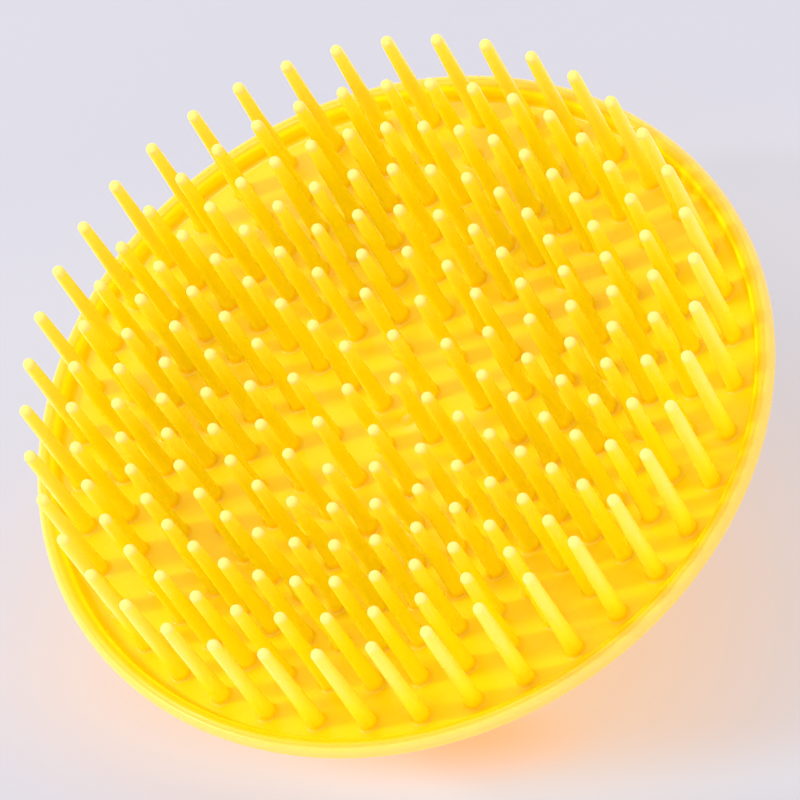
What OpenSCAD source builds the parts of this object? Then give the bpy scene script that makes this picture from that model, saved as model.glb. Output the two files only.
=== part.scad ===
// Round scalp massager brush, pins up: a soft pad with eight rings of moulded pins, a rigid back
// cover that the pad snaps on to, and a finger handle screwed to the back of the cover.
// Millimetres. The origin is the middle of the handle's flat face, on the brush's own axis, and
// +Z runs up through the pad to the pins.

/* [Pins] */
// Number of rings of pins
rings = 8; // [5:1:8]
// Pins in the innermost ring
first_ring_pins = 4; // [3:1:6]
// Pins in the second ring, and how many more each ring has than the one inside it
spokes = 8; // [6:1:9]
// Most pins that a ring may have
most_pins = 40; // [24:1:44]
// Radius of the innermost ring
first_ring_r = 4.25; // [3.5:0.05:5.5]
// Distance from one ring to the next
ring_pitch = 5.3; // [4.8:0.1:6]
// Length of a pin at the middle of the brush, from the pad's face to its end
pin_length = 14.9; // [8:0.1:22]
// Radius of the hollow sphere that the ends of the pins lie on
tip_dish_r = 140; // [120:1:400]
// Diameter of a pin just below its round end
pin_tip_d = 1.54; // [1.2:0.02:1.8]
// Diameter of a pin's shaft where it leaves the face
pin_root_d = 2.2; // [1.9:0.05:2.6]
// Diameter of the flared foot on the face
pin_foot_d = 3; // [2.8:0.1:3.6]
// Height of the flared foot
pin_foot_h = 0.5; // [0.3:0.05:1]

/* [Pad] */
// Thickness of the pad
pad_t = 1.8; // [1.4:0.1:2.6]
// Radius of the hollow sphere that the pad's face follows
pad_dish_r = 345; // [250:5:900]
// From the outermost ring of pins to the middle of the rim bead
rim_margin = 4; // [3.5:0.1:6]
// Diameter of the round bead along the rim
bead_d = 2.4; // [2:0.1:3]
// Height of the middle of the bead above the face beside it
bead_rise = 1.3; // [1:0.05:1.6]
// Radius of the cove between the bead and the face
cove_r = 0.8; // [0.4:0.1:1]

/* [Snap skirt] */
// Depth of the skirt under the pad
skirt_depth = 2.4; // [2:0.1:3]
// Thickness of the skirt
skirt_t = 1.4; // [1.2:0.1:1.8]
// How far the skirt stands inside the middle of the bead
skirt_inset = 3.1; // [2.4:0.1:3.6]
// Radius of the round snap bead on the cover
snap_r = 0.4; // [0.3:0.05:0.5]
// Clearance between the pad and the cover
pad_gap = 0.1; // [0.05:0.05:0.2]

/* [Back cover] */
// Wall thickness of the cover
cover_t = 2; // [1.6:0.1:2.5]
// Height of the space inside the cover, at the middle
cavity_h = 4.5; // [4:0.1:7]
// Radius of the rounded edge of the cover
cover_edge_r = 7; // [4:0.5:7.5]
// Radius of the inner support ring
inner_ring_r = 11; // [8:0.5:14]
// Radius of the outer support ring
outer_ring_r = 20.5; // [18:0.5:21]
// Thickness of the support rings and ribs
rib_t = 1.4; // [1:0.1:1.8]
// Height of the radial ribs
rib_h = 2.2; // [1.5:0.1:3]
// Number of radial ribs
ribs = 8; // [4:4:12]

/* [Finger handle] */
// Clear height for the fingers between the grip and the cover
finger_gap = 18; // [16:0.5:26]
// Clear length for the fingers at the cover
finger_span = 44; // [41:0.5:45]
// Thickness of the grip
grip_t = 4; // [3.5:0.1:6]
// Width of the handle at its feet
foot_w = 19; // [17:0.5:24]
// How much narrower the grip is on each side
waist = 1.5; // [0.5:0.1:2.5]
// Inner radius of the handle's two bends
bend_r = 11; // [8:0.5:13]
// Length of each foot
foot_l = 10; // [9.5:0.5:11]
// Thickness of each foot at its outer end
foot_edge_t = 2; // [1.5:0.1:3]
// Corner radius of the feet, seen from above
foot_corner_r = 4; // [2:0.5:6]

/* [Screws] */
// Thread diameter
screw_d = 2.9; // [2.6:0.1:3]
// Length under the head
screw_l = 8; // [7:0.5:8]
// Head diameter
screw_head_d = 5.6; // [5:0.1:6]
// Head height
screw_head_h = 2.1; // [1.8:0.1:2.4]
// Spacing of the two screws in a foot
screw_pitch = 9; // [7:0.5:9.5]
// From the finger opening to the middle of a screw
screw_inset = 4.2; // [3.8:0.1:4.6]
// Diameter of the clearance hole in the cover
screw_hole_d = 3.3; // [3.1:0.1:3.6]
// Diameter of the pilot hole in the handle
pilot_d = 2.4; // [2.2:0.1:2.5]

/* [Hidden] */

moulding_yellow = "#ffd21a";
stainless = "#c9ccce";

// Rings, from the middle outwards
function ring_r(n) = first_ring_r + (n - 1) * ring_pitch;
function ring_pins(n) = n == 1 ? first_ring_pins : min(spokes * (n - 1), most_pins);

// Rise of a hollow sphere at a distance from the axis
function rise(r, sphere_r) = sphere_r - sqrt(sphere_r * sphere_r - r * r);

// Heights, from the handle's flat face up
cover_back_z = grip_t + finger_gap;
cover_floor_z = cover_back_z + cover_t;
pad_under_z = cover_floor_z + cavity_h;
pad_face_z = pad_under_z + pad_t;
tip_z = pad_face_z + pin_length - pin_tip_d / 2;

// The pad is a row of cones that break half way between the rings
bead_r = ring_r(rings) + rim_margin;
face_edge_r = bead_r - bead_d / 2;
breaks = [0, for (n = [1 : rings - 1]) ring_r(n) + ring_pitch / 2, face_edge_r];
edge_rise = rise(face_edge_r, pad_dish_r);
bead_z = pad_face_z + edge_rise + bead_rise;
function on_bead(angle) = [
    bead_r + bead_d / 2 * cos(angle),
    bead_z + bead_d / 2 * sin(angle)
];

// Skirt, and the rim of the cover inside it
skirt_outer_r = bead_r - skirt_inset;
skirt_inner_r = skirt_outer_r - skirt_t;
cover_r = skirt_inner_r - pad_gap;
cover_flat_r = cover_r - cover_edge_r;
cover_edge_z = cover_back_z + cover_edge_r;
cover_top_z = pad_under_z + rise(breaks[rings - 1], pad_dish_r) - pad_gap;
snap_z = cover_top_z - skirt_depth / 2;

// Handle, seen from the side: each flank runs from the foot's edge to touch the bend
half_span = finger_span / 2;
foot_end = half_span + foot_l;
bend_y = half_span - bend_r;
bend_z = grip_t + bend_r;
bend_outer_r = bend_r + grip_t;
flank_top = [foot_end, cover_back_z - foot_edge_t];
to_bend = [bend_y, bend_z] - flank_top;
flank_l = sqrt(to_bend * to_bend - bend_outer_r * bend_outer_r);
flank_angle = atan2(to_bend[1], to_bend[0]) + atan2(bend_outer_r, flank_l);
flank_foot = flank_top + flank_l * [cos(flank_angle), sin(flank_angle)];
waist_r = (half_span * half_span + waist * waist) / (2 * waist);

// Depth that the pins' feet reach into the pad, and how far the pilots run past the screws
sink = 0.8;
pilot_spare = 0.6;
pilot_depth = screw_l - cover_t + pilot_spare;

module at_screws() {
    for (x = [-1, 1], y = [-1, 1])
        translate([x * screw_pitch / 2, y * (half_span + screw_inset), 0]) children();
}

// Half section of the dished plate with its rim bead and the skirt beneath
module pad_section() {
    polygon([
        for (r = breaks) [r, pad_under_z + rise(r, pad_dish_r)],
        for (i = [rings : -1 : 0]) [breaks[i], pad_face_z + rise(breaks[i], pad_dish_r)]
    ]);
    translate([bead_r, bead_z]) circle(d = bead_d, $fn = 48);
    // Flank that carries the bead
    polygon([
        [face_edge_r - 1, pad_under_z + edge_rise],
        [face_edge_r + 0.1, pad_under_z + edge_rise],
        on_bead(-45),
        on_bead(180),
        [face_edge_r, pad_under_z + edge_rise + pad_t / 2],
        [face_edge_r - 1, pad_under_z + edge_rise + pad_t / 2]
    ]);
    difference() {
        translate([face_edge_r - cove_r, pad_face_z + edge_rise - pad_t / 2])
            square([cove_r + 0.2, pad_t / 2 + cove_r]);
        translate([face_edge_r, pad_face_z + rise(face_edge_r - cove_r, pad_dish_r)] + [-1, 1] * cove_r)
            circle(r = cove_r, $fn = 48);
    }
    translate([skirt_inner_r, cover_top_z - skirt_depth])
        square([skirt_t, skirt_depth + pad_gap + pad_t / 2]);
}

// One pin: flared foot, tapered shaft and round end
module pin(r) {
    face_z = pad_face_z + rise(r, pad_dish_r);
    end_z = tip_z + rise(r, tip_dish_r);
    shaft_taper = (pin_root_d - pin_tip_d) / (end_z - face_z);
    foot_taper = (pin_foot_d - pin_root_d) / pin_foot_h;
    translate([0, 0, face_z - sink]) {
        cylinder(
            d1 = pin_foot_d + foot_taper * sink,
            d2 = pin_root_d - foot_taper * 0.1,
            h = sink + pin_foot_h + 0.1
        );
        cylinder(d1 = pin_root_d + shaft_taper * sink, d2 = pin_tip_d, h = sink + end_z - face_z);
    }
    translate([0, 0, end_z]) sphere(d = pin_tip_d);
}

// Soft translucent moulding: plate, pins, rim bead and snap skirt in one
module pin_pad() {
    color(moulding_yellow) difference() {
        union() {
            rotate_extrude($fn = 144) pad_section();
            for (n = [1 : rings], k = [0 : ring_pins(n) - 1])
                rotate([0, 0, k * 360 / ring_pins(n)])
                    translate([ring_r(n), 0, 0]) pin(ring_r(n), $fn = 24);
        }
        // Groove for the cover's snap bead
        rotate_extrude($fn = 144)
            translate([cover_r, snap_z]) circle(r = snap_r + pad_gap, $fn = 32);
    }
}

// Half section of a ring wall that reaches up to the pad's underside
module support_ring(r) {
    inner_r = r - rib_t / 2;
    top_z = pad_under_z + rise(inner_r, pad_dish_r) - pad_gap;
    translate([inner_r, cover_back_z + cover_t / 2])
        square([rib_t, top_z - cover_back_z - cover_t / 2]);
}

// Half section of the cover: flat back, rounded edge, upright rim and support rings
module cover_section() {
    translate([0, cover_back_z]) square([cover_flat_r, cover_t]);
    intersection() {
        translate([cover_flat_r, cover_edge_z]) difference() {
            circle(r = cover_edge_r, $fn = 96);
            circle(r = cover_edge_r - cover_t, $fn = 96);
        }
        translate([cover_flat_r, cover_back_z]) square(cover_edge_r);
    }
    translate([cover_r - cover_t, cover_edge_z]) square([cover_t, cover_top_z - cover_edge_z]);
    translate([cover_r, snap_z]) circle(r = snap_r, $fn = 32);
    support_ring(inner_ring_r);
    support_ring(outer_ring_r);
}

// Rigid moulding that carries the pad and the handle
module back_cover() {
    color(moulding_yellow) difference() {
        union() {
            rotate_extrude($fn = 144) cover_section();
            for (k = [0 : ribs - 1])
                rotate([0, 0, (k + 0.5) * 360 / ribs])
                    translate([inner_ring_r, -rib_t / 2, cover_back_z + cover_t / 2])
                        cube([cover_flat_r - inner_ring_r, rib_t, cover_t / 2 + rib_h]);
        }
        at_screws() translate([0, 0, cover_back_z - 1])
            cylinder(d = screw_hole_d, h = cover_t + 2, $fn = 32);
    }
}

// The handle from the side: grip, two bends, and two flanked legs with their feet
module handle_side() {
    translate([-bend_y, 0]) square([2 * bend_y, grip_t]);
    for (side = [0, 1]) mirror([side, 0]) {
        intersection() {
            translate([bend_y, bend_z]) difference() {
                circle(r = bend_outer_r, $fn = 96);
                circle(r = bend_r, $fn = 96);
            }
            translate([bend_y, 0]) square([bend_outer_r, bend_z]);
        }
        polygon([
            [half_span, bend_z],
            flank_foot,
            flank_top,
            [foot_end, cover_back_z],
            [half_span, cover_back_z]
        ]);
    }
}

// The handle from above: rounded feet and a waisted grip
module handle_plan() {
    corner = [foot_w / 2, foot_end] - [foot_corner_r, foot_corner_r];
    difference() {
        union() {
            square([foot_w, 2 * corner[1]], center = true);
            square([2 * corner[0], 2 * foot_end], center = true);
            for (x = [-1, 1], y = [-1, 1])
                translate([x * corner[0], y * corner[1]]) circle(r = foot_corner_r, $fn = 64);
        }
        for (x = [-1, 1])
            translate([x * (foot_w / 2 - waist + waist_r), 0]) circle(r = waist_r, $fn = 360);
    }
}

// Bridge that two or three fingers go under, with two screw pilots in each foot
module finger_handle() {
    color(moulding_yellow) difference() {
        intersection() {
            translate([-foot_w, 0, 0])
                rotate([90, 0, 90]) linear_extrude(2 * foot_w) handle_side();
            translate([0, 0, -1]) linear_extrude(cover_back_z + 2) handle_plan();
        }
        at_screws() translate([0, 0, cover_back_z - pilot_depth])
            cylinder(d = pilot_d, h = pilot_depth + 1, $fn = 32);
    }
}

// Self-tapping pan-head screws, driven from inside the cover before the pad goes on
module handle_screws() {
    color(stainless) at_screws() translate([0, 0, cover_floor_z]) {
        translate([0, 0, -screw_l]) cylinder(d = screw_d, h = screw_l, $fn = 32);
        difference() {
            cylinder(d = screw_head_d, h = screw_head_h, $fn = 48);
            // Cross recess
            for (turn = [0, 90])
                rotate([0, 0, turn]) translate([0, 0, screw_head_h])
                    cube([screw_head_d * 0.55, 0.8, 1.6], center = true);
        }
    }
}

pin_pad();
back_cover();
finger_handle();
handle_screws();
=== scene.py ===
import math

import bmesh
import bpy
from mathutils import Matrix, Vector


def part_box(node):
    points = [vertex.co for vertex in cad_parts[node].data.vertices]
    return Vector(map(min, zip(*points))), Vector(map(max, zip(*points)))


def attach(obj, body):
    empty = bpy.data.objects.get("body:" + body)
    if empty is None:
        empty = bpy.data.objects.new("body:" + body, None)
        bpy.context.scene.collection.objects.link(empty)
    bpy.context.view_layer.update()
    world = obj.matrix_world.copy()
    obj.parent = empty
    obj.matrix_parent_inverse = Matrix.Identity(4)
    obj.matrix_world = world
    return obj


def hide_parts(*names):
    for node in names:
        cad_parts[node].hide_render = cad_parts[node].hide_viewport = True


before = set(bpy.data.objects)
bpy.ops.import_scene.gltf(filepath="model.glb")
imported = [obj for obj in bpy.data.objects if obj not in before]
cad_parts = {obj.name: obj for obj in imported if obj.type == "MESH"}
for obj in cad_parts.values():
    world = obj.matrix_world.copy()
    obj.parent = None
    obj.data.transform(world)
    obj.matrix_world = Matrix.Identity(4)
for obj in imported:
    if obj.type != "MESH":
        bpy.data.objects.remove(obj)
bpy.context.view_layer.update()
mm = 0.001
noiseLow, noiseHigh = 0.3, 0.7  # nearly all values of a noise lie between these
print("frame loaded")


def linearColour(hexCode):  # sRGB hex to the linear values that shaders take
    channels = [int(hexCode[i:i + 2], 16) / 255 for i in (1, 3, 5)]
    linear = [c / 12.92 if c <= 0.04045 else ((c + 0.055) / 1.055) ** 2.4 for c in channels]
    return (*linear, 1.0)


def addNode(tree, kind, inputs=None, **settings):  # an input takes a value, a socket or a node
    node = tree.nodes.new(kind)
    for name, value in settings.items():
        setattr(node, name, value)
    for socket, value in (inputs or {}).items():
        if isinstance(value, bpy.types.Node):
            value = value.outputs[0]
        if isinstance(value, bpy.types.NodeSocket):
            tree.links.new(value, node.inputs[socket])
        else:
            node.inputs[socket].default_value = value
    return node


def blankMaterial(name):
    material = bpy.data.materials.new(name)
    material.use_nodes = True
    material.node_tree.nodes.clear()
    return material, material.node_tree


def rise(r, sphereRadius):  # height of a hollow sphere at a distance from the axis
    return sphereRadius - math.sqrt(sphereRadius ** 2 - r ** 2)


def onCircle(centre, radius, degrees):  # a point (r, z)
    angle = math.radians(degrees)
    return centre[0] + radius * math.cos(angle), centre[1] + radius * math.sin(angle)


def arc(centre, radius, start, end, steps):  # points (r, z) from one angle to another, in degrees
    return [onCircle(centre, radius, start + (end - start) * i / steps) for i in range(steps + 1)]


def lathe(bm, profile, sides):  # turns (r, z) points round the axis; points with r = 0 close the poles
    rows = []
    for r, z in profile:
        if r == 0:
            rows.append([bm.verts.new((0, 0, z))])
            continue
        row = []
        for k in range(sides):
            angle = 2 * math.pi * k / sides
            row.append(bm.verts.new((r * math.cos(angle), r * math.sin(angle), z)))
        rows.append(row)
    for low, high in zip(rows, rows[1:]):
        for k in range(sides):
            corners = [low[k % len(low)], low[(k + 1) % len(low)],
                       high[(k + 1) % len(high)], high[k % len(high)]]
            bm.faces.new(list(dict.fromkeys(corners)))
    bmesh.ops.recalc_face_normals(bm, faces=bm.faces)
    return rows


def meshObject(name, bm):
    mesh = bpy.data.meshes.new(name)
    bm.to_mesh(mesh)
    bm.free()
    mesh.shade_smooth()
    obj = bpy.data.objects.new(name, mesh)
    bpy.context.scene.collection.objects.link(obj)
    return obj


# The soft pad, in millimetres and degrees
pad = {
    "outerRadius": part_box("pin_pad")[1].x / mm,
    "tipTop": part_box("pin_pad")[1].z / mm,
    "skirtBottom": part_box("pin_pad")[0].z / mm,
    "thickness": 1.8,
    "dishRadius": 345.0,
    "beadRadius": 1.15,
    "beadRise": 1.3,
    "coveRadius": 0.8,
    "crestAngles": (178, 6),
    "grooveDepth": 0.13,
    "grooveAngle": 78.0,
    "grooveSpread": 9.0,
    "partingRidge": 0.05,
    "ridgeAngles": (3, -1),
    "underAngles": (-4, -45),
    "skirtInset": 3.1,
    "skirtThickness": 1.4,
    "skirtRound": 0.3,
    "mouthRound": 0.2,
    "underRound": 0.4,
    "underRoundOut": 0.1,
    "snapRadius": 0.5,
    "snapReach": 78,
    "snapSunk": 0.1,
    "gateRadius": 0.88,
    "gateHeight": 0.06,
    "gateSection": ((-0.2, 0), (-0.08, 1), (0.06, 1), (0.18, 0)),  # (offset, share of its height)
    "plateSteps": 34,
    "crestSteps": 50,
    "underSteps": 12,
    "sides": 200,
    "sharpAngle": 50,
}

# The pins that stand on it in rings
pins = {
    "rings": 8,
    "firstRingPins": 4,
    "spokes": 8,
    "mostPins": 40,
    "firstRingRadius": 4.25,
    "ringPitch": 5.3,
    "centreLength": 14.9,
    "tipDishRadius": 140.0,
    "tipRadius": 0.77,
    "tipLatitudes": (0.4, 0.8, 1.2),  # radians
    "rootRadius": 1.1,
    "rootSink": 0.9,
    "fillet": ((0.2, 0.07), (0.05, 0.3), (0.0, 0.8)),  # (past the root's radius, height)
    "witnessRadius": 1.64,
    "witnessEdge": 0.15,
    "witnessHeights": (0.004, 0.01),
    "sides": 12,
    "leanDegrees": 0.45,
    "seed": 7,
}

outerRingRadius = pins["firstRingRadius"] + (pins["rings"] - 1) * pins["ringPitch"]
tipCentreHeight = pad["tipTop"] - pins["tipRadius"] - rise(outerRingRadius, pins["tipDishRadius"])
faceHeight = tipCentreHeight + pins["tipRadius"] - pins["centreLength"]


def faceProfile(edgeR):  # from the middle of the plate, over the gate mark, to the end of the cove
    dish, gate, cove = pad["dishRadius"], pad["gateRadius"], pad["coveRadius"]
    points = [(0, faceHeight)]
    for offset, share in pad["gateSection"]:
        points.append((gate + offset, faceHeight + pad["gateHeight"] * share))
    coveStart = edgeR - cove
    for i in range(1, pad["plateSteps"]):
        r = gate + (coveStart - gate) * i / pad["plateSteps"]
        points.append((r, faceHeight + rise(r, dish)))
    return points + arc((coveStart, faceHeight + rise(coveStart, dish) + cove), cove, -90, 0, 7)


def beadProfile(centre, ridge):  # over the rim's grooved crest, past the ridge where the mould parted
    start, end = pad["crestAngles"]
    points = []
    for i in range(pad["crestSteps"] + 1):
        degrees = start + (end - start) * i / pad["crestSteps"]
        groove = math.exp(-((degrees - pad["grooveAngle"]) / pad["grooveSpread"]) ** 2)
        points.append(onCircle(centre, pad["beadRadius"] - pad["grooveDepth"] * groove, degrees))
    points += arc(centre, ridge, *pad["ridgeAngles"], 2)
    return points + arc(centre, pad["beadRadius"], *pad["underAngles"], 8)


def undersideProfile(skirtR, edgeR, underEdgeZ):  # down the skirt, over its snap bead, back to the middle
    innerR, bottom = skirtR - pad["skirtThickness"], pad["skirtBottom"]
    under, skirt, mouth = pad["underRound"], pad["skirtRound"], pad["mouthRound"]
    plateZ = faceHeight - pad["thickness"]
    topZ = plateZ + rise(innerR, pad["dishRadius"])
    underCentre = (edgeR + pad["underRoundOut"], underEdgeZ + under)
    points = arc(underCentre, under, pad["underAngles"][1], -90, 3)
    points += arc((skirtR + skirt, underEdgeZ - skirt), skirt, 90, 180, 3)
    points += arc((skirtR - skirt, bottom + skirt), skirt, 0, -90, 4)
    points += arc((innerR + mouth, bottom + mouth), mouth, -90, -180, 3)
    snapCentre = (innerR - pad["snapSunk"], (bottom + topZ) / 2)
    points += arc(snapCentre, pad["snapRadius"], -pad["snapReach"], pad["snapReach"], 8)
    points.append((innerR, topZ))
    for i in range(1, pad["underSteps"]):
        r = innerR * (1 - i / pad["underSteps"])
        points.append((r, plateZ + rise(r, pad["dishRadius"])))
    points.append((0, plateZ))
    return points


def padProfile():
    ridge = pad["beadRadius"] + pad["partingRidge"]
    beadR = pad["outerRadius"] - ridge
    edgeR = beadR - ridge
    edgeZ = faceHeight + rise(edgeR, pad["dishRadius"])
    points = faceProfile(edgeR)
    points += beadProfile((beadR, edgeZ + pad["beadRise"]), ridge)
    points += undersideProfile(beadR - pad["skirtInset"], edgeR, edgeZ - pad["thickness"])
    return [(r * mm, z * mm) for r, z in points]


def pinTemplate():  # heights are offsets from the face (share 0) or from the tip's centre (share 1)
    root, tip, witness = pins["rootRadius"], pins["tipRadius"], pins["witnessRadius"]
    edgeHeight, ringHeight = pins["witnessHeights"]
    rows = [(0, -pins["rootSink"], 0.0), (witness, -pins["rootSink"], 0.0)]
    rows += [(witness, edgeHeight, 0.0), (witness - pins["witnessEdge"], ringHeight, 0.0)]
    rows += [(root + past, height, 0.0) for past, height in pins["fillet"]]
    rows += [((root + tip) / 2, 0.0, 0.5), (tip, 0.0, 1.0)]
    rows += [(tip * math.cos(a), tip * math.sin(a), 1.0) for a in pins["tipLatitudes"]]
    rows.append((0, tip, 1.0))
    bm = bmesh.new()
    share = bm.verts.layers.float.new("share")
    made = lathe(bm, [(r * mm, z * mm) for r, z, _ in rows], pins["sides"])
    for row, (_, _, value) in zip(made, rows):
        for vert in row:
            vert[share] = value
    return meshObject("pinTemplate", bm)


def pinFieldTree():  # puts a pin on each point of each ring, stands it on the dish and joins it to the plate
    tree = bpy.data.node_groups.new("Pins on a dished pad", "GeometryNodeTree")
    sockets = {}
    for name, kind in (
        ("Plate", "NodeSocketGeometry"), ("Pin", "NodeSocketObject"), ("Rings", "NodeSocketInt"),
        ("First ring pins", "NodeSocketInt"), ("Spokes", "NodeSocketInt"), ("Most pins", "NodeSocketInt"),
        ("First ring radius", "NodeSocketFloat"), ("Ring pitch", "NodeSocketFloat"),
        ("Face height", "NodeSocketFloat"), ("Face dish radius", "NodeSocketFloat"),
        ("Tip height", "NodeSocketFloat"), ("Tip dish radius", "NodeSocketFloat"),
        ("Lean", "NodeSocketFloat"), ("Seed", "NodeSocketInt"), ("Finish", "NodeSocketMaterial"),
    ):
        sockets[name] = tree.interface.new_socket(name, in_out="INPUT", socket_type=kind).identifier
    tree.interface.new_socket("Pad", in_out="OUTPUT", socket_type="NodeSocketGeometry")
    given = addNode(tree, "NodeGroupInput").outputs

    # One circle of points for each ring
    start = tree.nodes.new("GeometryNodeRepeatInput")
    end = tree.nodes.new("GeometryNodeRepeatOutput")
    start.pair_with_output(end)
    tree.links.new(given["Rings"], start.inputs["Iterations"])
    ring = start.outputs["Iteration"]
    stepOut = addNode(tree, "ShaderNodeMath", {0: ring, 1: given["Ring pitch"]}, operation="MULTIPLY")
    radius = addNode(tree, "ShaderNodeMath", {0: given["First ring radius"], 1: stepOut}, operation="ADD")
    grown = addNode(tree, "ShaderNodeMath", {0: ring, 1: given["Spokes"]}, operation="MULTIPLY")
    wanted = addNode(tree, "ShaderNodeMath", {0: grown, 1: given["Most pins"]}, operation="MINIMUM")
    isFirst = addNode(tree, "FunctionNodeCompare", {2: ring, 3: 0}, data_type="INT", operation="EQUAL")
    count = addNode(tree, "GeometryNodeSwitch",
                    {"Switch": isFirst, "False": wanted, "True": given["First ring pins"]},
                    input_type="INT")
    circle = addNode(tree, "GeometryNodeMeshCircle", {"Vertices": count, "Radius": radius})
    gather = addNode(tree, "GeometryNodeJoinGeometry", {0: circle})
    tree.links.new(start.outputs["Geometry"], gather.inputs[0])
    tree.links.new(gather.outputs[0], end.inputs["Geometry"])

    # Every point keeps its ring's radius and gets a pin that leans a little, each its own way
    position = addNode(tree, "GeometryNodeInputPosition")
    away = addNode(tree, "ShaderNodeVectorMath", {0: position}, operation="LENGTH").outputs["Value"]
    marked = addNode(tree, "GeometryNodeStoreNamedAttribute",
                     {"Geometry": end.outputs["Geometry"], "Name": "ringRadius", "Value": away},
                     data_type="FLOAT", domain="POINT")
    leanMost = addNode(tree, "ShaderNodeCombineXYZ", {0: given["Lean"], 1: given["Lean"]})
    leanLeast = addNode(tree, "ShaderNodeVectorMath", {0: leanMost, "Scale": -1.0}, operation="SCALE")
    lean = addNode(tree, "FunctionNodeRandomValue",
                   {"Min": leanLeast, "Max": leanMost, "Seed": given["Seed"]}, data_type="FLOAT_VECTOR")
    pin = addNode(tree, "GeometryNodeObjectInfo", {"Object": given["Pin"]}).outputs["Geometry"]
    placed = addNode(tree, "GeometryNodeInstanceOnPoints",
                     {"Points": marked, "Instance": pin, "Rotation": lean.outputs["Value"]})
    loose = addNode(tree, "GeometryNodeRealizeInstances", {0: placed})

    def dishHeight(r, sphereRadius):  # r squared over twice the radius, plus the next term of the sphere
        square = addNode(tree, "ShaderNodeMath", {0: r, 1: r}, operation="MULTIPLY")
        width = addNode(tree, "ShaderNodeMath", {0: sphereRadius, 1: 2.0}, operation="MULTIPLY")
        first = addNode(tree, "ShaderNodeMath", {0: square, 1: width}, operation="DIVIDE")
        firstSquare = addNode(tree, "ShaderNodeMath", {0: first, 1: first}, operation="MULTIPLY")
        second = addNode(tree, "ShaderNodeMath", {0: firstSquare, 1: width}, operation="DIVIDE")
        return addNode(tree, "ShaderNodeMath", {0: first, 1: second}, operation="ADD")

    # A foot follows the dish of the face, and a tip the dish that the tips lie on
    share = addNode(tree, "GeometryNodeInputNamedAttribute", {"Name": "share"}, data_type="FLOAT")
    ringRadius = addNode(tree, "GeometryNodeInputNamedAttribute", {"Name": "ringRadius"}, data_type="FLOAT")
    flat = addNode(tree, "ShaderNodeVectorMath", {0: position, 1: (1, 1, 0)}, operation="MULTIPLY")
    reach = addNode(tree, "ShaderNodeVectorMath", {0: flat}, operation="LENGTH").outputs["Value"]
    faceRise = dishHeight(reach, given["Face dish radius"])
    tipRise = dishHeight(ringRadius, given["Tip dish radius"])
    faceZ = addNode(tree, "ShaderNodeMath", {0: given["Face height"], 1: faceRise}, operation="ADD")
    tipZ = addNode(tree, "ShaderNodeMath", {0: given["Tip height"], 1: tipRise}, operation="ADD")
    lift = addNode(tree, "ShaderNodeMix", {"Factor": share, "A": faceZ, "B": tipZ}, data_type="FLOAT")
    up = addNode(tree, "ShaderNodeCombineXYZ", {2: lift})
    stood = addNode(tree, "GeometryNodeSetPosition", {"Geometry": loose, "Offset": up})

    # One skin over plate and pins, so that light spreads from a pin into the plate
    joined = addNode(tree, "GeometryNodeMeshBoolean", operation="UNION", solver="MANIFOLD")
    tree.links.new(given["Plate"], joined.inputs["Mesh 2"])
    tree.links.new(stood.outputs[0], joined.inputs["Mesh 2"])
    whole = addNode(tree, "GeometryNodeRealizeInstances", {0: joined})
    finished = addNode(tree, "GeometryNodeSetMaterial", {"Geometry": whole, "Material": given["Finish"]})
    addNode(tree, "NodeGroupOutput", {0: finished})
    return tree, sockets


def makePinPad(finish):
    bm = bmesh.new()
    lathe(bm, padProfile(), pad["sides"])
    plate = meshObject("padPlate", bm)
    template = pinTemplate()
    tree, sockets = pinFieldTree()
    modifier = plate.modifiers.new("pins", "NODES")
    modifier.node_group = tree
    values = {
        "Pin": template, "Rings": pins["rings"], "First ring pins": pins["firstRingPins"],
        "Spokes": pins["spokes"], "Most pins": pins["mostPins"],
        "First ring radius": pins["firstRingRadius"] * mm, "Ring pitch": pins["ringPitch"] * mm,
        "Face height": faceHeight * mm, "Face dish radius": pad["dishRadius"] * mm,
        "Tip height": tipCentreHeight * mm, "Tip dish radius": pins["tipDishRadius"] * mm,
        "Lean": math.radians(pins["leanDegrees"]), "Seed": pins["seed"], "Finish": finish,
    }
    for name, value in values.items():
        modifier[sockets[name]] = value
    depsgraph = bpy.context.evaluated_depsgraph_get()
    mesh = bpy.data.meshes.new_from_object(plate.evaluated_get(depsgraph), depsgraph=depsgraph)
    plate.modifiers.remove(modifier)
    mesh.name = "pinPad"
    mesh.shade_smooth()
    mesh.set_sharp_from_angle(angle=math.radians(pad["sharpAngle"]))
    piece = bpy.data.objects.new("pinPad", mesh)
    bpy.context.scene.collection.objects.link(piece)
    bpy.data.objects.remove(plate)
    bpy.data.objects.remove(template)
    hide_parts("pin_pad")
    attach(piece, "root")


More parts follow.
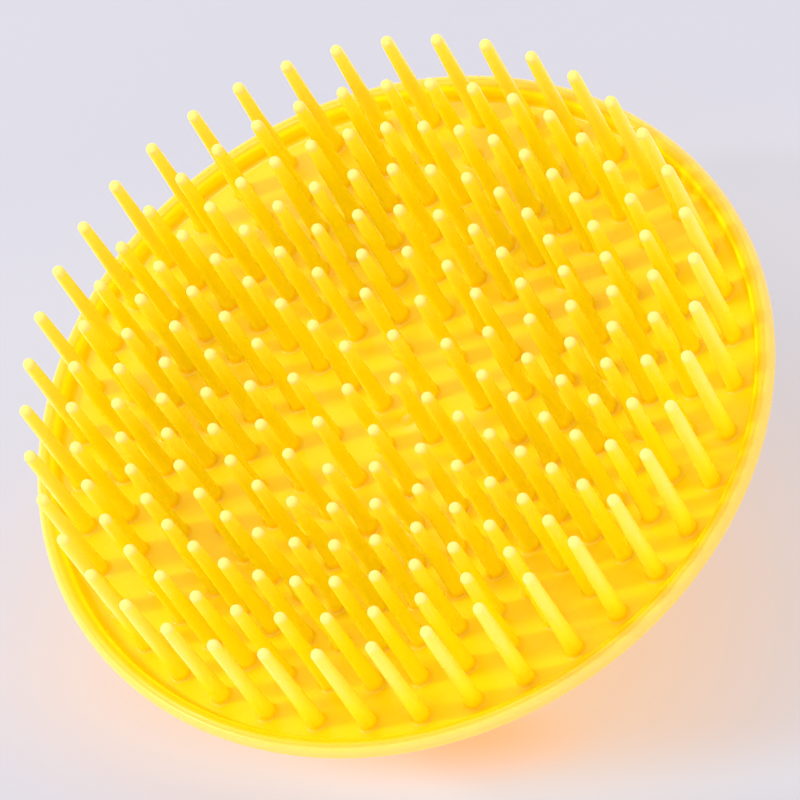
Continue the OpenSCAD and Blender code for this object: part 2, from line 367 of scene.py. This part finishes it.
# Soft thermoplastic elastomer, moulded in a polished tool. Light soaks into it and spreads. The plate is
# deep gold; the pins are painted lemon and their feet paler still, painted light for the light that soaks
# through them and against the shade between them. Their upper parts and the whole outermost ring carry a
# painted sheen, and their polished ends a painted highlight, palest of all. The rim's inner half is painted
# a darker gold, painted shade, and its outer lip pale, a painted sheen that fades where the bead turns
# under. Sizes in millimetres
elastomer = {
    "plate": "#FFD303",
    # painted light: feet paler than the plate, against the shade between the pins
    "foot": "#FFEA03",
    # painted light: pins paler than the plate, for the light that soaks through them
    "shaft": "#FFE402",
    # painted sheen: the pins' upper parts paler
    "shaftTopSheen": "#FFE22C",
    # painted sheen: the outermost ring paler, more so up each pin
    "outerShaftSheen": "#FFE34A",
    # painted highlight: the pins' ends palest
    "tip": "#FFDC7A",
    # painted shade: the rim's inner half a darker gold
    "rim": "#FFC20C",
    # painted sheen: the rim's outer lip pale
    "lip": "#FFCE64",
    # where the bead turns under, and all the underside: a less pale gold, where the lip's painted sheen ends
    "edge": "#FFD03C",
    "roughness": 0.26,
    "roughnessDrift": (-0.04, 0.06),
    "tipPolish": 0.12,
    "ior": 1.49,
    "specular": 0.33,
    "scatterShare": 0.6,
    "scatterDepth": 2.0,
    "scatterReach": (1.0, 0.8, 0.15),  # red light goes furthest, blue hardly at all
    "cloudSize": 9.0,
    "colourDrift": 1.0,
    "grainSize": 0.35,  # coarser than the real grain, so that it shows
    "grainStrength": 0.1,
    "grainDepth": 0.02,
    "tipDishBulge": 1.02,  # the tips' sphere rises this much faster than a parabola
}

# Where a colour covers the plate's and those above it in this list: ramps from none of it to all of it, in
# millimetres along a measure, and how each ramp joins the one before
elastomerZones = {
    # painted light: the pins' feet paler
    "foot": [("MULTIPLY", "overFace", 0.05, 1.2)],
    # painted light: the pins paler up their length
    "shaft": [("MULTIPLY", "overFaceDrifting", 3.0, 11.0)],
    # painted sheen on the pins' upper parts
    "shaftTopSheen": [("MULTIPLY", "overTip", -6.0, 0.0)],
    # painted sheen on the outermost ring
    "outerShaftSheen": [("MULTIPLY", "pastOuterRing", -3.0, -1.8), ("MULTIPLY", "overFace", 0.0, 16.0)],
    # painted highlight on the pins' ends
    "tip": [("MULTIPLY", "overTip", -0.5, 0.25)],
    # painted shade on the rim's inner half
    "rim": [("MULTIPLY", "pastBead", -1.05, -0.55)],
    # painted sheen on the outer lip
    "lip": [("MULTIPLY", "pastBead", -0.3, 0.9)],
    # where the painted sheen ends: the bead's turn and the underside
    "edge": [("MULTIPLY", "pastBead", 0.1, 0.9), ("MULTIPLY", "overFace", 1.3, 0.4),
             ("MAXIMUM", "overFace", -0.6, -1.4)],
}


def elastomerMaterial():
    material, tree = blankMaterial("yellow elastomer, moulded")
    place = addNode(tree, "ShaderNodeTexCoord").outputs["Object"]
    z = addNode(tree, "ShaderNodeSeparateXYZ", {0: place}).outputs["Z"]
    flat = addNode(tree, "ShaderNodeVectorMath", {0: place, 1: (1, 1, 0)}, operation="MULTIPLY")
    r = addNode(tree, "ShaderNodeVectorMath", {0: flat}, operation="LENGTH").outputs["Value"]
    square = addNode(tree, "ShaderNodeMath", {0: r, 1: r}, operation="MULTIPLY")
    cloud = addNode(tree, "ShaderNodeTexNoise",
                    {"Vector": place, "Scale": 1 / (elastomer["cloudSize"] * mm), "Detail": 2.0})

    # Heights over the face and the tips' centres; distances past the outer ring and the rim bead's middle
    measures = {}
    for name, height, bulge, sphereRadius in (
        ("overFace", faceHeight, 1.0, pad["dishRadius"]),
        ("overTip", tipCentreHeight, elastomer["tipDishBulge"], pins["tipDishRadius"]),
    ):
        dish = addNode(tree, "ShaderNodeMath",
                       {0: square, 1: bulge / (2 * sphereRadius * mm), 2: height * mm},
                       operation="MULTIPLY_ADD")
        measures[name] = addNode(tree, "ShaderNodeMath", {0: z, 1: dish}, operation="SUBTRACT")
    for name, radius in (("pastOuterRing", outerRingRadius),
                         ("pastBead", pad["outerRadius"] - pad["beadRadius"])):
        measures[name] = addNode(tree, "ShaderNodeMath", {0: r, 1: radius * mm}, operation="SUBTRACT")
    most = elastomer["colourDrift"] * mm
    drift = addNode(tree, "ShaderNodeMath", {0: cloud, 1: 2 * most, 2: -most}, operation="MULTIPLY_ADD")
    measures["overFaceDrifting"] = addNode(tree, "ShaderNodeMath", {0: measures["overFace"], 1: drift},
                                           operation="ADD")

    colour = linearColour(elastomer["plate"])
    shares = {}
    for name, ramps in elastomerZones.items():
        share = 1.0
        for joining, measure, start, end in ramps:
            ramp = addNode(tree, "ShaderNodeMapRange",
                           {"Value": measures[measure], "From Min": start * mm, "From Max": end * mm},
                           interpolation_type="SMOOTHSTEP")
            share = addNode(tree, "ShaderNodeMath", {0: share, 1: ramp}, operation=joining)
        shares[name] = share
        colour = addNode(tree, "ShaderNodeMix", {0: share, 6: colour, 7: linearColour(elastomer[name])},
                         data_type="RGBA").outputs[2]

    smoothest, roughest = (elastomer["roughness"] + change for change in elastomer["roughnessDrift"])
    gloss = addNode(tree, "ShaderNodeMapRange",
                    {"Value": cloud, "From Min": noiseLow, "From Max": noiseHigh,
                     "To Min": smoothest, "To Max": roughest})
    polished = addNode(tree, "ShaderNodeMath", {0: shares["tip"], 1: -elastomer["tipPolish"], 2: gloss},
                       operation="MULTIPLY_ADD")
    grain = addNode(tree, "ShaderNodeTexNoise",
                    {"Vector": place, "Scale": 1 / (elastomer["grainSize"] * mm), "Detail": 3.0})
    bump = addNode(tree, "ShaderNodeBump",
                   {"Height": grain, "Strength": elastomer["grainStrength"],
                    "Distance": elastomer["grainDepth"] * mm})
    shader = addNode(tree, "ShaderNodeBsdfPrincipled",
                     {"Base Color": colour, "Roughness": polished, "Normal": bump,
                      "IOR": elastomer["ior"], "Specular IOR Level": elastomer["specular"],
                      "Subsurface Weight": elastomer["scatterShare"],
                      "Subsurface Radius": elastomer["scatterReach"],
                      "Subsurface Scale": elastomer["scatterDepth"] * mm})
    addNode(tree, "ShaderNodeOutputMaterial", {"Surface": shader})
    return material


# Polypropylene, injection moulded: glossy, with a fine tool texture that only breaks the highlight and faint
# flow marks in tone and gloss. Sizes in millimetres
polypropylene = {
    "colour": "#FFC60A",
    "toneDrift": (0.97, 1.03),
    "roughness": 0.3,
    "roughnessDrift": (-0.03, 0.05),
    "ior": 1.49,
    "scatterShare": 0.25,
    "scatterDepth": 1.0,
    "scatterReach": (1.0, 0.6, 0.1),
    "flowSize": 14.0,
    "textureSize": 0.5,  # coarser than the real texture, so that it shows
    "textureStrength": 0.15,
    "textureDepth": 0.03,
}


def polypropyleneMaterial():
    material, tree = blankMaterial("yellow polypropylene, moulded")
    place = addNode(tree, "ShaderNodeTexCoord").outputs["Object"]
    flow = addNode(tree, "ShaderNodeTexNoise",
                   {"Vector": place, "Scale": 1 / (polypropylene["flowSize"] * mm), "Detail": 1.0})
    darkest, lightest = polypropylene["toneDrift"]
    tone = addNode(tree, "ShaderNodeMapRange",
                   {"Value": flow, "From Min": noiseLow, "From Max": noiseHigh,
                    "To Min": darkest, "To Max": lightest})
    colour = addNode(tree, "ShaderNodeHueSaturation",
                     {"Color": linearColour(polypropylene["colour"]), "Value": tone})
    smoothest, roughest = (polypropylene["roughness"] + change for change in polypropylene["roughnessDrift"])
    gloss = addNode(tree, "ShaderNodeMapRange",
                    {"Value": flow, "From Min": noiseLow, "From Max": noiseHigh,
                     "To Min": smoothest, "To Max": roughest})
    texture = addNode(tree, "ShaderNodeTexNoise",
                      {"Vector": place, "Scale": 1 / (polypropylene["textureSize"] * mm), "Detail": 2.0})
    bump = addNode(tree, "ShaderNodeBump",
                   {"Height": texture, "Strength": polypropylene["textureStrength"],
                    "Distance": polypropylene["textureDepth"] * mm})
    shader = addNode(tree, "ShaderNodeBsdfPrincipled",
                     {"Base Color": colour, "Roughness": gloss, "Normal": bump, "IOR": polypropylene["ior"],
                      "Subsurface Weight": polypropylene["scatterShare"],
                      "Subsurface Radius": polypropylene["scatterReach"],
                      "Subsurface Scale": polypropylene["scatterDepth"] * mm})
    addNode(tree, "ShaderNodeOutputMaterial", {"Surface": shader})
    return material


# Stainless steel, cold headed and tumbled: bright, with short soft scratches every way. Sizes in millimetres
stainless = {
    "colour": "#C3C2C0",
    "roughness": 0.28,
    "roughnessDrift": (-0.08, 0.1),
    "scratchSize": 0.25,  # coarser than real scratches, so that they show
    "scratchBend": 1.5,
    "scratchStrength": 0.1,
    "scratchDepth": 0.01,
}


def stainlessMaterial():
    material, tree = blankMaterial("stainless steel, tumbled")
    place = addNode(tree, "ShaderNodeTexCoord").outputs["Object"]
    scratches = addNode(tree, "ShaderNodeTexNoise",
                        {"Vector": place, "Scale": 1 / (stainless["scratchSize"] * mm),
                         "Detail": 4.0, "Distortion": stainless["scratchBend"]})
    smoothest, roughest = (stainless["roughness"] + change for change in stainless["roughnessDrift"])
    gloss = addNode(tree, "ShaderNodeMapRange",
                    {"Value": scratches, "From Min": noiseLow, "From Max": noiseHigh,
                     "To Min": smoothest, "To Max": roughest})
    bump = addNode(tree, "ShaderNodeBump",
                   {"Height": scratches, "Strength": stainless["scratchStrength"],
                    "Distance": stainless["scratchDepth"] * mm})
    shader = addNode(tree, "ShaderNodeBsdfPrincipled",
                     {"Base Color": linearColour(stainless["colour"]), "Metallic": 1.0,
                      "Roughness": gloss, "Normal": bump})
    addNode(tree, "ShaderNodeOutputMaterial", {"Surface": shader})
    return material


# The bridge that the fingers go under, in millimetres
handle = {
    "halfWidth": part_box("finger_handle")[1].x / mm,
    "footEnd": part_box("finger_handle")[1].y / mm,
    "top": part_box("finger_handle")[1].z / mm,
    "halfSpan": 22.0,
    "gripThickness": 4.0,
    "bendRadius": 11.0,
    "footEdge": 2.0,
    "footCorner": 4.0,
    "waist": 1.5,
    "edgeRadius": 0.9,
    "seam": 0.3,
    "footCuts": (0.8, 1.4, 1.8, 2.0, 2.5, 3.0, 4.0, 5.0, 6.0),  # below the top, closer where its end turns
    "bendSteps": 24,
    "gripSteps": 8,
    "edgeSteps": 6,
    "weld": 0.0001,
    "sharpAngle": 35,
}


def handleStations():  # cuts from the top of one foot to the middle of the grip: inner and outer (y, z)
    bendRadius, thick, top = handle["bendRadius"], handle["gripThickness"], handle["top"]
    bend = Vector((handle["halfSpan"] - bendRadius, thick + bendRadius))
    outerRadius = bendRadius + thick
    corner = Vector((handle["footEnd"], top - handle["footEdge"]))
    toBend = bend - corner
    flankLength = math.sqrt(toBend.length_squared - outerRadius ** 2)
    flankAngle = math.atan2(toBend.y, toBend.x) + math.atan2(outerRadius, flankLength)
    flank = Vector((math.cos(flankAngle), math.sin(flankAngle)))
    touch = corner + flank * flankLength - bend
    touchAngle = math.atan2(touch.y, touch.x)
    edge, footCorner = handle["edgeRadius"], handle["footCorner"]
    stations = []
    for depth in (0.0, handle["seam"], *handle["footCuts"]):
        z = top - depth
        outerY = min(handle["footEnd"], corner.x + flank.x * (z - corner.y) / flank.y)
        rounding = edge + (footCorner - edge) * min(1.0, (z - bend.y) / (corner.y - bend.y))
        inset = 0.0 if depth else handle["seam"]
        stations.append(((handle["halfSpan"], z), (outerY, z), rounding, inset))
    for i in range(handle["bendSteps"] + 1):
        angle = math.radians(-90 * i / handle["bendSteps"])
        way = Vector((math.cos(angle), math.sin(angle)))
        reach = outerRadius
        if angle > touchAngle:
            reach = (corner - bend).cross(flank) / way.cross(flank)
        stations.append((tuple(bend + way * bendRadius), tuple(bend + way * reach), edge, 0.0))
    for i in range(1, handle["gripSteps"] + 1):
        y = bend.x * (1 - i / handle["gripSteps"])
        stations.append(((y, thick), (y, 0.0), edge, 0.0))
    return stations


def handleCut(bm, station, side):  # one rounded cut across the bridge, as a loop of vertices
    inner, outer, outerRounding, inset = station
    inner, outer = Vector(inner), Vector(outer)
    length = (outer - inner).length
    waistRadius = (handle["halfSpan"] ** 2 + handle["waist"] ** 2) / (2 * handle["waist"])
    steps, edge = handle["edgeSteps"], handle["edgeRadius"]
    corners = ((1, outerRounding, True), (-1, outerRounding, True), (-1, edge, False), (1, edge, False))
    loop = []
    for quarter, (xSign, radius, isOuter) in enumerate(corners):
        for k in range(steps + 1):
            angle = math.pi / 2 * (quarter + k / steps)
            across = radius * (1 - abs(math.cos(angle))) + inset
            along = radius * (1 - abs(math.sin(angle))) + inset
            if isOuter:
                along = length - along
            y, z = inner + (outer - inner) * along / length
            half = handle["halfWidth"]
            if y < handle["halfSpan"]:
                half -= handle["waist"] - rise(y, waistRadius)
            loop.append(bm.verts.new((xSign * (half - across) * mm, y * side * mm, z * mm)))
    return loop


def makeHandle(finish):
    bm = bmesh.new()
    stations = handleStations()
    loops = [handleCut(bm, station, 1) for station in stations]
    loops += [handleCut(bm, station, -1) for station in reversed(stations[:-1])]
    for low, high in zip(loops, loops[1:]):
        for k in range(len(low)):
            bm.faces.new((low[k - 1], low[k], high[k], high[k - 1]))
    bm.faces.new(loops[0])
    bm.faces.new(loops[-1])
    bmesh.ops.remove_doubles(bm, verts=bm.verts, dist=handle["weld"] * mm)
    bmesh.ops.recalc_face_normals(bm, faces=bm.faces)
    piece = meshObject("fingerHandle", bm)
    piece.data.set_sharp_from_angle(angle=math.radians(handle["sharpAngle"]))
    piece.data.materials.append(finish)
    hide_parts("finger_handle")
    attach(piece, "root")


def refinish(nodeName, material):  # a CAD node keeps its shape and gets its real finish
    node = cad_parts[nodeName]
    node.data.materials.clear()
    node.data.materials.append(material)


yellowPlastic = polypropyleneMaterial()
makePinPad(elastomerMaterial())
print("pin pad made")
refinish("back_cover", yellowPlastic)
refinish("handle_screws", stainlessMaterial())
makeHandle(yellowPlastic)
print("cover, handle and screws finished")


# Matt paper. To the camera it also glows with painted light: a cool painted halo where it is lit, and the
# brush's painted shadow with a warm painted glow in it, where light comes through the yellow; other rays
# meet plain paper, and it takes the real shadow too. Ovals in millimetres: centre, stretch, and the reach of
# the full colour and of its last trace
paper = {
    "halfSize": 2000.0,
    "clearance": 0.02,  # under the handle's flat face
    "colour": "#747278",
    "bounce": "#E8E6EA",
    "roughness": 0.85,
    "specular": 0.1,
    "litFar": "#B9B9C2",
    "litNear": "#D2E6F9",
    "shadeFar": "#BEBDC4",
    "shadeNear": "#F6BF83",
    "shadeClose": "#FCAB59",
    "ovalTurn": -146.6,
    "litOval": ((-20.5, 12.0), 3.0, (13.0, 22.0)),
    "shadeOval": ((-12.7, -20.1), 3.47, (34.8, 58.5)),
    "nearOval": ((-0.6, 17.2), 1.26, (1.0, 61.0)),
    "closeOval": ((-13.5, 25.8), 3.36, (1.0, 7.4)),
}


def paperMaterial():
    material, tree = blankMaterial("pale paper, matt")
    path = addNode(tree, "ShaderNodeLightPath").outputs
    place = addNode(tree, "ShaderNodeTexCoord").outputs["Object"]

    def overOval(name, outside, inside):  # one colour on a soft-edged oval, another off it
        centre, stretch, (full, none) = paper[name]
        spot = addNode(tree, "ShaderNodeMapping",
                       {"Vector": place, "Location": Vector((*centre, 0.0)) * mm,
                        "Rotation": (0, 0, math.radians(paper["ovalTurn"])), "Scale": (stretch, 1, 1)},
                       vector_type="TEXTURE")
        away = addNode(tree, "ShaderNodeVectorMath", {0: spot}, operation="LENGTH").outputs["Value"]
        share = addNode(tree, "ShaderNodeMapRange",
                        {"Value": away, "From Min": full * mm, "From Max": none * mm,
                         "To Min": 1.0, "To Max": 0.0}, interpolation_type="SMOOTHSTEP")
        return addNode(tree, "ShaderNodeMix", {0: share, 6: outside, 7: inside},
                       data_type="RGBA").outputs[2]

    # painted light for the camera: the lit halo, and the shadow with its warm glow, as emission
    lit = overOval("litOval", linearColour(paper["litFar"]), linearColour(paper["litNear"]))
    shade = overOval("nearOval", linearColour(paper["shadeFar"]), linearColour(paper["shadeNear"]))
    shade = overOval("closeOval", shade, linearColour(paper["shadeClose"]))
    glow = overOval("shadeOval", lit, shade)
    colour = addNode(tree, "ShaderNodeMix",
                     {0: path["Is Camera Ray"], 6: linearColour(paper["bounce"]),
                      7: linearColour(paper["colour"])}, data_type="RGBA").outputs[2]
    shader = addNode(tree, "ShaderNodeBsdfPrincipled",
                     {"Base Color": colour, "Roughness": paper["roughness"],
                      "Specular IOR Level": paper["specular"],
                      "Emission Color": glow, "Emission Strength": path["Is Camera Ray"]})
    addNode(tree, "ShaderNodeOutputMaterial", {"Surface": shader})
    return material


def makeFloor():
    bm = bmesh.new()
    half, z = paper["halfSize"] * mm, -paper["clearance"] * mm
    corners = [bm.verts.new((x * half, y * half, z)) for x, y in ((-1, -1), (1, -1), (1, 1), (-1, 1))]
    bm.faces.new(corners)
    floor = meshObject("floor", bm)
    floor.data.materials.append(paperMaterial())


# Plain soft studio light; lamps by azimuth and elevation in degrees, sizes in metres, power in watts
studio = {
    "worldColour": "#FBFBFF",
    "worldStrength": 0.95,
    "aimHeight": 0.04,
    "key": {"azimuth": 46, "elevation": 50, "distance": 0.9, "size": 0.1, "power": 3.0},
    "fill": {"azimuth": 172, "elevation": 18, "distance": 0.5, "size": 0.5, "power": 0.32},
    "top": {"azimuth": -10, "elevation": 80, "distance": 0.8, "size": 0.4, "power": 1.8},
}


def makeWorld():
    world = bpy.data.worlds.new("studio")
    bpy.context.scene.world = world
    world.use_nodes = True
    tree = world.node_tree
    tree.nodes.clear()
    light = addNode(tree, "ShaderNodeBackground",
                    {"Color": linearColour(studio["worldColour"]), "Strength": studio["worldStrength"]})
    addNode(tree, "ShaderNodeOutputWorld", {"Surface": light})


def makeLamp(name):
    values = studio[name]
    lamp = bpy.data.lights.new(name, "AREA")
    lamp.shape = "DISK"
    lamp.size = values["size"]
    lamp.energy = values["power"]
    azimuth, elevation = math.radians(values["azimuth"]), math.radians(values["elevation"])
    way = Vector((math.cos(azimuth) * math.cos(elevation), math.sin(azimuth) * math.cos(elevation),
                  math.sin(elevation)))
    obj = bpy.data.objects.new(name, lamp)
    obj.location = Vector((0, 0, studio["aimHeight"])) + way * values["distance"]
    obj.rotation_mode = "QUATERNION"
    obj.rotation_quaternion = way.to_track_quat("Z", "Y")
    bpy.context.scene.collection.objects.link(obj)


# The camera looks down on the pins from one side, rolled so that they lean up and to the left;
# degrees and millimetres
view = {
    "azimuth": 159.8,
    "elevation": 54.66,
    "roll": -33.26,
    "distance": 517.7,
    "aim": (-0.17, -0.45, 34.79),
    "lens": 194.4,
    "sensorWidth": 36.0,
    "nearest": 10.0,
}


def makeCamera():
    data = bpy.data.cameras.new("camera")
    data.lens = view["lens"]
    data.sensor_width = view["sensorWidth"]
    data.clip_start = view["nearest"] * mm
    camera = bpy.data.objects.new("camera", data)
    turn = (Matrix.Rotation(math.radians(view["azimuth"] + 90), 3, "Z")
            @ Matrix.Rotation(math.radians(90 - view["elevation"]), 3, "X")
            @ Matrix.Rotation(math.radians(view["roll"]), 3, "Z"))
    camera.location = (Vector(view["aim"]) + turn.col[2] * view["distance"]) * mm
    camera.rotation_mode = "QUATERNION"
    camera.rotation_quaternion = turn.to_quaternion()
    bpy.context.scene.collection.objects.link(camera)
    bpy.context.scene.camera = camera


makeFloor()
makeWorld()
for lampName in ("key", "fill", "top"):
    makeLamp(lampName)
makeCamera()
bpy.context.scene.view_settings.view_transform = "Standard"
print("studio made")
